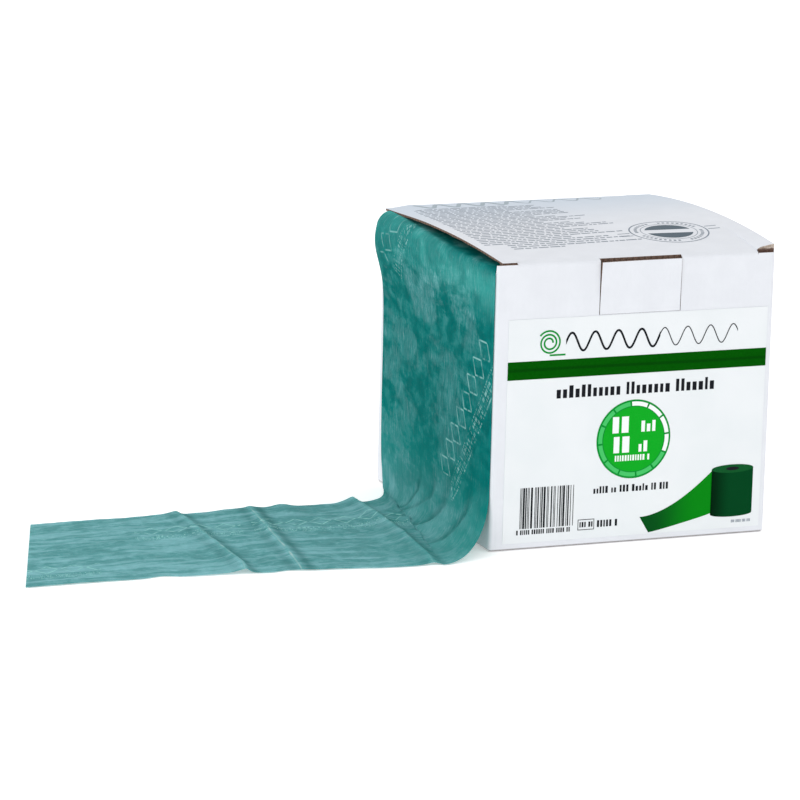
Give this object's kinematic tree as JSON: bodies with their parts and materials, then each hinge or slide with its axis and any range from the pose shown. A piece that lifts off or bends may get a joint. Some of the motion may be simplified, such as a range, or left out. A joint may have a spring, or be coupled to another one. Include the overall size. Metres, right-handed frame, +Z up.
{
  "type": "resistance band dispenser",
  "caption": "Wide latex resistance band wound on a core in a corrugated dispenser carton, its free end pulled out over one wall and along the floor.",
  "frame": {"origin": "centre of the carton's underside", "axes": "+Z up, labelled front wall faces -Y, the band leaves over the left wall towards -X"},
  "size_m": [0.3473, 0.153, 0.1354],
  "materials": {
    "white_board": "satin",
    "kraft_board": "matte",
    "label_paper": "satin",
    "core_pulp": "matte",
    "green_latex": "satin"
  },
  "bodies": {
    "carton": {"front_panel": "white_board", "back_panel": "white_board", "left_panel": "white_board", "right_panel": "white_board", "glue_flap": "white_board", "bottom_panel": "white_board", "bottom_left_flap": "kraft_board", "bottom_right_flap": "kraft_board", "bottom_tuck_flap": "kraft_board", "front_label": "label_paper", "band_lead": "green_latex", "band_drop": "green_latex"},
    "lid": {"lid_panel": "white_board"},
    "tuck_flap": {"lid_tuck_flap": "white_board"},
    "left_flap": {"left_dust_flap": "kraft_board"},
    "right_flap": {"right_dust_flap": "kraft_board"},
    "tab": {"lock_tab": "white_board"},
    "roll": {"roll_core": "core_pulp", "band_roll": "green_latex"},
    "band_run": {"band_run": "green_latex"},
    "band_end": {"band_end": "green_latex"}
  },
  "joints": [
    {"name": "lid_hinge", "type": "hinge", "parent": "carton", "child": "lid", "pos_m": [0, -0.069, 0.1291], "axis": [1, 0, 0], "range_deg": [0, 180]},
    {"name": "tuck_fold", "type": "hinge", "parent": "lid", "child": "tuck_flap", "pos_m": [0, 0.0672, 0.1276], "axis": [1, 0, 0], "range_deg": [0, 45]},
    {"name": "left_flap_fold", "type": "hinge", "parent": "carton", "child": "left_flap", "pos_m": [-0.0655, 0, 0.1248], "axis": [0, 1, 0], "range_deg": [0, 85], "stiffness_Nm_per_rad": 0.01},
    {"name": "right_flap_fold", "type": "hinge", "parent": "carton", "child": "right_flap", "pos_m": [0.0655, 0, 0.1248], "axis": [0, -1, 0], "range_deg": [0, 85], "stiffness_Nm_per_rad": 0.01},
    {"name": "tab_fold", "type": "hinge", "parent": "carton", "child": "tab", "pos_m": [0, -0.069, 0.1044], "axis": [1, 0, 0], "range_deg": [-4, 150], "stiffness_Nm_per_rad": 0.003},
    {"name": "roll_spin", "type": "hinge", "parent": "carton", "child": "roll", "pos_m": [0, -0.0022, 0.0628], "axis": [0, -1, 0], "range_deg": [0, 93.9]},
    {"name": "band_payout", "type": "slide", "parent": "carton", "child": "band_run", "axis": [-1, 0, 0], "range_m": [0, 0.1]},
    {"name": "band_stretch", "type": "slide", "parent": "band_run", "child": "band_end", "axis": [-1, 0, 0], "range_m": [0, 0.09], "stiffness_N_per_m": 229}
  ],
  "couplings": [
    {"joint": "tuck_fold", "follows": "lid_hinge", "ratio": 0.25},
    {"joint": "band_payout", "follows": "roll_spin", "m_per_rad": 0.061}
  ]
}
